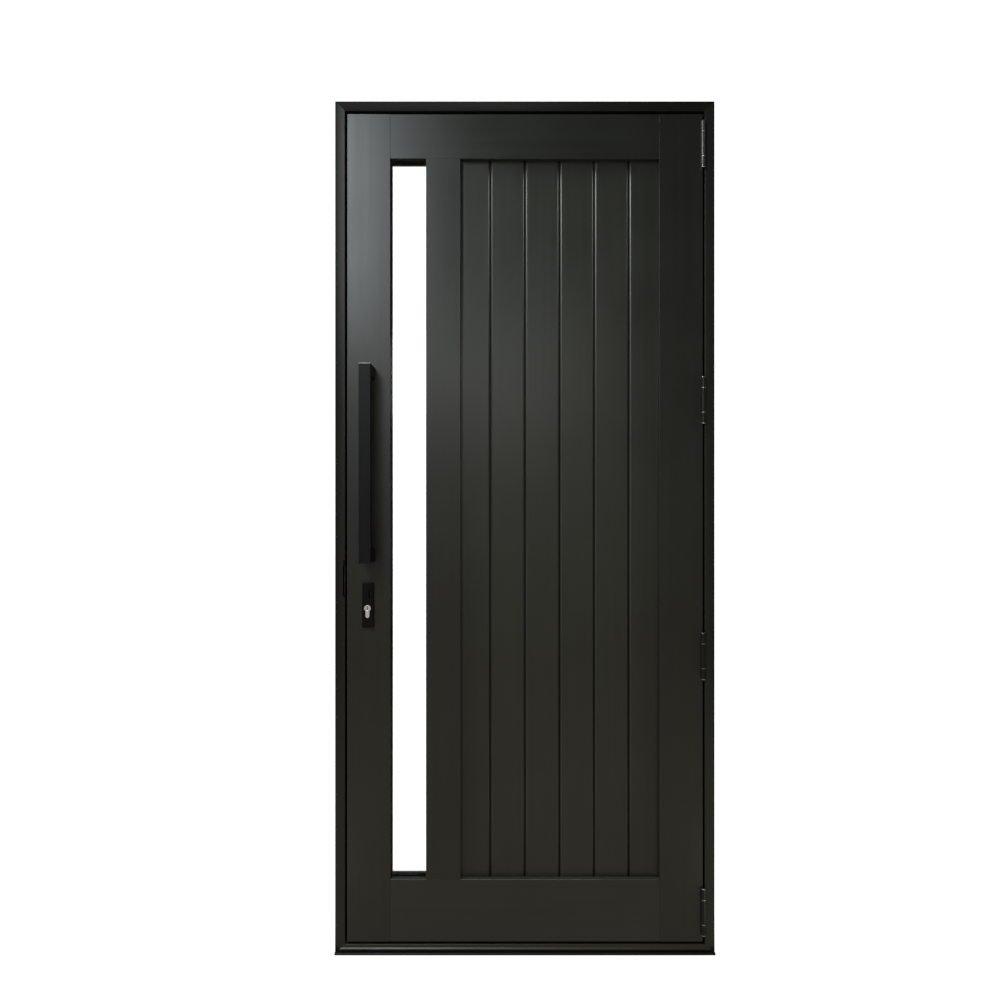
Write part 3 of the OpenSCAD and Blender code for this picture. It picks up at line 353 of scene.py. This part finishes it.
# %% Handles and hinges
coat_black = powder_coat("powder_coated_aluminium_black", ("#101212", "#151717"),
                         (0.38, 0.46), (1, 1, 0.05), shine=0.18)
coat_hinge = powder_coat("powder_coated_steel", ("#1d1d19", "#23231f"),
                         (0.26, 0.34), (1, 1, 0.2), shine=0.32)
grips = ["pull_handle_outside", "pull_handle_inside"]
hinge_leaves = ["hinge_%d_%s_leaf" % (i, side) for i in range(1, 5) for side in ("frame", "door")]
finish_solid(grips, coat_black)
finish_solid(hinge_leaves, coat_hinge)
print("coated", len(grips), "grip bars and", len(hinge_leaves), "hinge leaves")

# %% [markdown]
# The lock plates and the strike are pressed steel with a thin electro-deposited black. It is thinner
# and smoother than powder and follows the steel, so it has no orange peel, only fine hairlines from
# the sheet. Noise stretched along z gives them. Real ones are finer than can be seen from here, so
# they're drawn coarser, about half a millimetre apart.

# %% Black plated steel
hairline = 0.6 * mm
hairline_stretch = (1, 1, 0.03)
hairline_depth = 0.01 * mm
narrow_span = (0.35, 0.65)


def plated_black(name, colours, roughness, shine):
    material, tree = new_material(name)
    place = add(tree, "TexCoord").outputs["Object"]
    long_way = add(tree, "Mapping", {"Vector": place, "Scale": hairline_stretch})
    lines = add(tree, "TexNoise", {"Vector": long_way.outputs[0], "Scale": 1 / hairline,
                                   "Detail": 2.0})
    shade = add(tree, "ValToRGB", {"Fac": lines.outputs["Fac"]})
    for stop, position, colour in zip(shade.color_ramp.elements, narrow_span, colours):
        stop.position = position
        stop.color = linear(colour)
    gloss = add(tree, "MapRange", {"Value": lines.outputs["Fac"],
                                   "From Min": narrow_span[0], "From Max": narrow_span[1],
                                   "To Min": roughness[0], "To Max": roughness[1]})
    bump = add(tree, "Bump", {"Height": lines.outputs["Fac"], "Distance": hairline_depth})
    skin = add(tree, "BsdfPrincipled", {"Base Color": shade.outputs[0], "IOR": plastic_ior,
                                        "Specular IOR Level": shine,
                                        "Roughness": gloss.outputs[0], "Normal": bump.outputs[0]})
    add(tree, "OutputMaterial", {"Surface": skin.outputs[0]})
    return material


plate_black = plated_black("electro_coated_steel_black", ("#0a0a0a", "#101010"), (0.38, 0.46), 0.16)
plates = ["strike_plate", "strike_screws", "lock_plate_outside", "lock_plate_inside",
          "lock_plate_screws"]
finish_solid(plates, plate_black)
print("plated", len(plates), "solids black")

# %% [markdown]
# Bare metals are told apart by their tint and by how their fine scratches run: stainless is brushed
# one way, zinc has a cloudy bloom, and mill aluminium shows the lines of its die. A metal has no
# colour under its surface, so its base colour is its mirror colour, and the pattern goes into
# roughness and bump and not into colour. One recipe with a stretch, a pitch and a depth makes all
# three, and a fourth, a bright bare metal that paints a highlight on the grip bar's top edge.

# %% Bare metals
def brushed_metal(name, colour, roughness, stretch, pitch, depth):
    material, tree = new_material(name)
    place = add(tree, "TexCoord").outputs["Object"]
    long_way = add(tree, "Mapping", {"Vector": place, "Scale": stretch})
    lines = add(tree, "TexNoise", {"Vector": long_way.outputs[0], "Scale": 1 / pitch,
                                   "Detail": 3.0})
    gloss = add(tree, "MapRange", {"Value": lines.outputs["Fac"],
                                   "From Min": noise_span[0], "From Max": noise_span[1],
                                   "To Min": roughness[0], "To Max": roughness[1]})
    bump = add(tree, "Bump", {"Height": lines.outputs["Fac"], "Distance": depth})
    skin = add(tree, "BsdfPrincipled", {"Base Color": linear(colour), "Metallic": 1.0,
                                        "Roughness": gloss.outputs[0], "Normal": bump.outputs[0]})
    add(tree, "OutputMaterial", {"Surface": skin.outputs[0]})
    return material


stainless = brushed_metal("satin_stainless_steel", "#c6c4bf", (0.26, 0.36), (1, 1, 0.1),
                          0.5 * mm, 0.01 * mm)
zinc = brushed_metal("zinc_plated_steel", "#aeb1b4", (0.30, 0.48), (1, 1, 1), 3 * mm, 0.01 * mm)
mill = brushed_metal("mill_finish_aluminium", "#b9bbbe", (0.32, 0.44), (1, 1, 0.02),
                     0.8 * mm, 0.02 * mm)
# A bright bare metal, put on the grip bar's top edge as a painted highlight.
bare_metal_painted_highlight = brushed_metal("bare_aluminium_painted_highlight", "#c9cbcc", (0.30, 0.5), (1, 1, 1),
                          2 * mm, 0.02 * mm)
bright_steel = ["hinge_pins", "hinge_washers", "hinge_frame_screws", "hinge_door_screws",
                "handle_bolts", "faceplate_screws", "lock_faceplate", "cylinder_screw", "deadbolt"]
finish_solid(bright_steel, stainless)
finish_solid(["lock_case", "roller_carriage"], zinc)
finish_solid(["corner_cleats", "rail_blocks"], mill)
print("bare metals made,", len(bright_steel), "solids in stainless")

# %% [markdown]
# The lock cylinder is brass with a satin chrome plate. Its face was turned on a lathe, so its
# scratches are rings round the key plug. A wave texture in rings draws them, centred on the plug by
# a Mapping node, because the pattern would else be centred on the middle of the door. At a scale of
# one such a texture turns 20 radians in a metre, and from that its scale is worked out. Real rings
# are finer than can be seen from here, so they're drawn half a millimetre apart.

# %% Satin chrome
plug_low, plug_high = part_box("key_plug")
plug_axis = (plug_low + plug_high) / 2
ring_pitch = 0.5 * mm
ring_depth = 0.01 * mm
ring_wobble = 0.6
ring_roughness = (0.20, 0.30)
radians_per_metre = 20
satin_chrome, tree = new_material("satin_chrome_on_brass")
place = add(tree, "TexCoord").outputs["Object"]
centred = add(tree, "Mapping", {"Vector": place, "Location": (-plug_axis.x, 0, -plug_axis.z)})
rings = add(tree, "TexWave", {"Vector": centred.outputs[0],
                              "Scale": math.tau / (radians_per_metre * ring_pitch),
                              "Distortion": ring_wobble, "Detail": 2.0},
            wave_type="RINGS", rings_direction="Y")
gloss = add(tree, "MapRange", {"Value": rings.outputs["Fac"],
                               "To Min": ring_roughness[0], "To Max": ring_roughness[1]})
bump = add(tree, "Bump", {"Height": rings.outputs["Fac"], "Distance": ring_depth})
skin = add(tree, "BsdfPrincipled", {"Base Color": linear("#e3e2de"), "Metallic": 1.0,
                                    "Roughness": gloss.outputs[0], "Normal": bump.outputs[0]})
add(tree, "OutputMaterial", {"Surface": skin.outputs[0]})
finish_solid(["cylinder_body", "key_plug", "thumbturn"], satin_chrome)
print("satin chrome made, rings centred on", [round(c, 4) for c in plug_axis])

# %% [markdown]
# Seals, tapes and small mouldings have no grain, only a soft mottle: rubber is matt and slightly
# grey with bloom, polypropylene is a shade smoother, and nylon is milky. One recipe covers them,
# with the size and the depth of the mottle set for each. A little sheen stands for the bloom.

# %% Rubber and plastics
def moulded(name, colours, roughness, sheen, spot, depth):
    material, tree = new_material(name)
    place = add(tree, "TexCoord").outputs["Object"]
    spots = add(tree, "TexNoise", {"Vector": place, "Scale": 1 / spot, "Detail": 4.0})
    shade = add(tree, "ValToRGB", {"Fac": spots.outputs["Fac"]})
    for stop, position, colour in zip(shade.color_ramp.elements, narrow_span, colours):
        stop.position = position
        stop.color = linear(colour)
    bump = add(tree, "Bump", {"Height": spots.outputs["Fac"], "Distance": depth})
    skin = add(tree, "BsdfPrincipled", {"Base Color": shade.outputs[0], "Roughness": roughness,
                                        "Sheen Weight": sheen, "Normal": bump.outputs[0]})
    add(tree, "OutputMaterial", {"Surface": skin.outputs[0]})
    return material


rubber = moulded("extruded_epdm_rubber", ("#121212", "#1b1b1a"), 0.62, 0.1, 4 * mm, 0.03 * mm)
spacer_black = moulded("warm_edge_spacer", ("#161616", "#1e1e1e"), 0.5, 0.0, 1 * mm, 0.05 * mm)
block_plastic = moulded("moulded_polypropylene", ("#202020", "#282828"), 0.45, 0.0,
                        2 * mm, 0.02 * mm)
nylon = moulded("moulded_nylon", ("#d8d5ca", "#e2dfd5"), 0.38, 0.0, 6 * mm, 0.02 * mm)
seals = ["weather_seal", "glazing_gasket_outer", "glazing_gasket_inner", "panel_tape"]
finish_solid(seals, rubber)
finish_solid(["glass_spacer"], spacer_black)
finish_solid(["setting_blocks", "bottom_seal"], block_plastic)
finish_solid(["roller"], nylon)
print("rubber and plastics made,", len(seals), "seals in rubber")

# %% [markdown]
# The glass strip is a sealed unit of two panes: clear float outside, lightly acid-etched inside. The
# etched face scatters what is behind it, so the strip reads as even white light, while the outer
# pane stays crisp and mirrors the room. Both are solid glass, so light bends through them as it
# should. A thin see-through sheet would be quicker, and would lose the depth at the edges.

# %% Glass
glass_ior = 1.52
etch_cell = 1.5 * mm
etch_roughness = (0.06, 0.1)
clear_glass, tree = new_material("clear_float_glass")
skin = add(tree, "BsdfPrincipled", {"Base Color": linear("#fbfefc"), "Roughness": 0.0,
                                    "IOR": glass_ior, "Transmission Weight": 1.0})
add(tree, "OutputMaterial", {"Surface": skin.outputs[0]})
etched_glass, tree = new_material("acid_etched_glass")
place = add(tree, "TexCoord").outputs["Object"]
frost = add(tree, "TexNoise", {"Vector": place, "Scale": 1 / etch_cell, "Detail": 2.0})
blur = add(tree, "MapRange", {"Value": frost.outputs["Fac"],
                              "To Min": etch_roughness[0], "To Max": etch_roughness[1]})
skin = add(tree, "BsdfPrincipled", {"Base Color": linear("#fefffe"), "Roughness": blur.outputs[0],
                                    "IOR": glass_ior, "Transmission Weight": 1.0})
add(tree, "OutputMaterial", {"Surface": skin.outputs[0]})
finish_solid(["glass_outer_pane"], clear_glass)
finish_solid(["glass_inner_pane"], etched_glass)
print("glass made, IOR", glass_ior)

# %% [markdown]
# A new piece is a mesh put into an object at the origin. Its faces are turned outwards, and where it
# has rounded parts they're shaded smooth, with every edge sharper than a set angle kept crisp. Each
# piece is told which moving body it rides on and which material it takes.

# %% Making a piece
crisp_angle = math.radians(33)


def new_piece(name, mesh, body, material, smooth=False):
    bmesh.ops.recalc_face_normals(mesh, faces=mesh.faces)
    for face in mesh.faces:
        face.smooth = smooth
    for edge in mesh.edges:
        edge.smooth = edge.calc_face_angle(math.pi) < crisp_angle
    data = bpy.data.meshes.new(name)
    mesh.to_mesh(data)
    mesh.free()
    piece = bpy.data.objects.new(name, data)
    scene.collection.objects.link(piece)
    data.materials.append(material)
    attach(piece, body)
    print(name, "has", len(data.polygons), "faces")
    return piece


print("edges sharper than", round(math.degrees(crisp_angle)), "degrees stay crisp")

# %% [markdown]
# An extruded edge is never razor sharp: the die leaves a small radius, and the powder rounds it
# further. That arris is what catches a bright line of light, so a member without it looks like a
# paper model. Each member that shows is copied, its loose triangles are merged into whole faces, and
# its long outer edges get a small bevel. The copy then stands for the plain solid. Weighted normals
# keep the big faces flat beside their rounded edges. Leaving out the short edges keeps the bevel
# away from screw holes and mitres.

# %% Ease an arris
merge_distance = 0.001 * mm
flat_enough = math.radians(0.5)
arris_angle = math.radians(30)
arris_steps = 3


def ease(name, body, slot_name, material, radius, shortest):
    mesh = bmesh.new()
    mesh.from_mesh(nodes[name].data)
    bmesh.ops.remove_doubles(mesh, verts=mesh.verts, dist=merge_distance)
    bmesh.ops.dissolve_limit(mesh, angle_limit=flat_enough, verts=mesh.verts, edges=mesh.edges)
    arrises = [edge for edge in mesh.edges if edge.calc_length() > shortest
               and edge.calc_face_angle_signed(0.0) > arris_angle]
    bmesh.ops.bevel(mesh, geom=arrises, offset=radius, offset_type="OFFSET", segments=arris_steps,
                    profile=0.5, affect="EDGES", material=-1, clamp_overlap=True)
    piece = new_piece(name + "_eased", mesh, body, material, smooth=True)
    weighted = piece.modifiers.new("weighted", "WEIGHTED_NORMAL")
    weighted.keep_sharp = True
    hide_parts(name)
    return piece


print("arrises take", arris_steps, "steps")

# %% [markdown]
# The radius depends on the member: the stiles and the frame are crisp, the boards are a little
# softer, and the lip of the bottom rail and the grip bars are the roundest. A table of members keeps
# these sizes side by side, where a call for each would hide them. The frame's short edges are its
# mitres, which stay closed, so its shortest edge to round is set longer than any of them.

# %% Members with eased arrises
crisp_arris = 0.5 * mm
board_arris = 1.0 * mm
grip_arris = 1.5 * mm
lip_arris = 1.6 * mm
leaf_edges = 60 * mm
frame_edges = 300 * mm
grip_edges = 12 * mm
members = [
    (boards, "leaf", "coated_board", coat_board, board_arris, leaf_edges),
    (["lock_stile", "hinge_stile", "mid_stile"], "leaf", "coated_leaf", coat_upright,
     crisp_arris, leaf_edges),
    (["top_rail"], "leaf", "coated_leaf", coat_level, crisp_arris, leaf_edges),
    (["bottom_rail"], "leaf", "coated_leaf", coat_level, lip_arris, leaf_edges),
    (["frame_jamb_lock", "frame_jamb_hinge"], "frame", "coated_frame", coat_upright,
     crisp_arris, frame_edges),
    (["frame_head", "frame_sill", "sub_sill"], "frame", "coated_frame", coat_level,
     crisp_arris, frame_edges),
    (grips, "leaf", "handle_black", coat_black, grip_arris, grip_edges),
]
eased = {name: ease(name, *rest) for names, *rest in members for name in names}
print("eased", len(eased), "members")

# %% [markdown]
# Along the top front edge of the outside grip bar, a bright bare metal takes the place of the coat
# as a painted highlight, for the bright line that light from above draws there. The edge is already
# a strip of faces of its own, made by the bevel. So the faces near the top that lean up and forward
# are given the bright metal.

# %% Painted highlight on the grip bar's top edge
highlight_band = 2 * mm
tilt_least = 0.1
tilt_most = 0.99


def paint_top_edge_highlight(piece, band, material):
    piece.data.materials.append(material)
    top = max(vertex.co.z for vertex in piece.data.vertices)
    # Faces near the top that lean up and forward take the bright metal: a painted highlight.
    highlit = [face for face in piece.data.polygons if face.center.z > top - band
            and tilt_least < face.normal.z < tilt_most and face.normal.y < -tilt_least]
    for face in highlit:
        face.material_index = len(piece.data.materials) - 1
    print(piece.name, "has", len(highlit), "worn faces")


paint_top_edge_highlight(eased["pull_handle_outside"], highlight_band, bare_metal_painted_highlight)

# %% [markdown]
# Under the leaf hangs a brush seal: a plastic backing that slides into the rail, with a pile of fine
# hairs that sweep the sill. A block would look like rubber, and real hairs by the thousand would be
# far too heavy, so the pile is made of separate tufts. Each tuft is a five-sided taper that leans
# and is cut its own small way, so that the row doesn't look like a comb.

# %% Brush seal
brush_low, brush_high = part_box("bottom_seal")
backing_h = 1.8 * mm
backing_edge = 0.4 * mm
tuft_pitch = 2.0 * mm
tuft_rows = 3
tuft_sides = 5
tuft_root = 0.75 * mm
tuft_tip = 0.35 * mm
tuft_lean = math.radians(7)
tuft_uneven = 0.5 * mm
random.seed(11)


def rounded_bar(mesh, low, high, edge):
    made = bmesh.ops.create_cube(mesh, size=1.0)["verts"]
    bmesh.ops.scale(mesh, vec=high - low, verts=made)
    bmesh.ops.translate(mesh, vec=(low + high) / 2, verts=made)
    sides = [side for side in mesh.edges if side.verts[0] in made]
    bmesh.ops.bevel(mesh, geom=sides, offset=edge, offset_type="OFFSET", segments=arris_steps,
                    profile=0.5, affect="EDGES", material=-1, clamp_overlap=True)


pile = moulded("nylon_brush_pile", ("#101010", "#1c1c1b"), 0.7, 0.3, 1.5 * mm, 0.1 * mm)
brush = bmesh.new()
root_z = brush_high.z - backing_h
rounded_bar(brush, Vector((brush_low.x, brush_low.y, root_z)), brush_high, backing_edge)
tuft_length = root_z - brush_low.z
tuft_count = int((brush_high.x - brush_low.x) / tuft_pitch)
row_step = (brush_high.y - brush_low.y) / tuft_rows
for row in range(tuft_rows):
    for i in range(tuft_count):
        lean = Matrix.Rotation(random.uniform(-tuft_lean, tuft_lean), 4, "Y")
        length = tuft_length - random.uniform(0.0, tuft_uneven)
        root = Vector((brush_low.x + (i + 0.5) * tuft_pitch, brush_low.y + (row + 0.5) * row_step,
                       root_z))
        hang = Matrix.Translation((0, 0, -length / 2))
        bmesh.ops.create_cone(brush, cap_ends=True, segments=tuft_sides, radius1=tuft_tip,
                              radius2=tuft_root, depth=length,
                              matrix=Matrix.Translation(root) @ lean @ hang)
brush_seal = new_piece("brush_seal", brush, "leaf", pile)
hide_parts("bottom_seal")
print("brush of", tuft_rows * tuft_count, "tufts")

# %% [markdown]
# The key plug's face isn't flat: a thin turned rim stands round it, which guides the key and catches
# the light as a ring. A torus would be round in section, and this rim is low and wide. So it's a
# small circle, flattened and then spun round the plug's axis.

# %% Rim of the key plug
rim_inset = 0.7 * mm
rim_r = (plug_high.x - plug_low.x) / 2 - rim_inset
rim_w = 0.5 * mm
rim_proud = 0.25 * mm
rim_section_sides = 10
rim_steps = 48
rim = bmesh.new()
centre = Vector((plug_axis.x + rim_r, plug_low.y, plug_axis.z))
section = bmesh.ops.create_circle(rim, cap_ends=False, segments=rim_section_sides, radius=rim_w,
                                  matrix=Matrix.Translation(centre))
bmesh.ops.scale(rim, vec=(1, rim_proud / rim_w, 1), space=Matrix.Translation(-centre),
                verts=section["verts"])
bmesh.ops.spin(rim, geom=rim.verts[:] + rim.edges[:], cent=plug_axis, axis=(0, 1, 0),
               angle=math.tau, steps=rim_steps, use_merge=True)
bmesh.ops.remove_doubles(rim, verts=rim.verts, dist=merge_distance)
new_piece("key_plug_rim", rim, "key_plug", satin_chrome, smooth=True)
print("rim radius", round(rim_r / mm, 2), "mm")

# %% [markdown]
# Now that every piece exists, each accent lamp is linked to its own pieces, and some broad lamps are
# flagged off the parts of the frame that stand in the shade of the wall. The lamps behind leave out
# the panes and don't shine through them. Dimming a piece's colour instead would make it wrong in
# every other light.

# %% Aim the lamps
raked = [name + "_eased" for name in boards]
top_hinge = ["hinge_4_door_leaf", "hinge_4_frame_leaf"]
panes = ["glass_outer_pane", "glass_inner_pane"]
lights_only = {
    "rake_left": raked + top_hinge,
    "rake_right": raked,
    "hinge_glint": top_hinge,
    "ceiling": ["pull_handle_outside_eased", "lock_plate_outside", "frame_sill_eased"],
    "cylinder_glint": ["cylinder_body", "key_plug", "key_plug_rim"],
    "head_fill": ["frame_head_eased"],
    "lip_glint": ["bottom_rail_eased"],
    "window_edge": ["frame_jamb_lock_eased"],
}
keeps_off = {
    "window_left": ["frame_head_eased", "frame_jamb_lock_eased"],
    "left_side": ["frame_jamb_lock_eased"],
    "floor_left": ["frame_jamb_lock_eased"],
    "floor_right": ["frame_jamb_hinge_eased"],
}
keeps_off.update({name: panes for name in back_lamps})
for name, pieces in lights_only.items():
    light_reach(lamps[name], pieces, "INCLUDE")
for name, pieces in keeps_off.items():
    light_reach(lamps[name], pieces, "EXCLUDE")
for name in back_lamps:
    lamps[name].visible_transmission = False
print("aimed", len(lights_only), "lamps, and flagged off", len(keeps_off))

# %% [markdown]

# %% Done
print("scene set up")
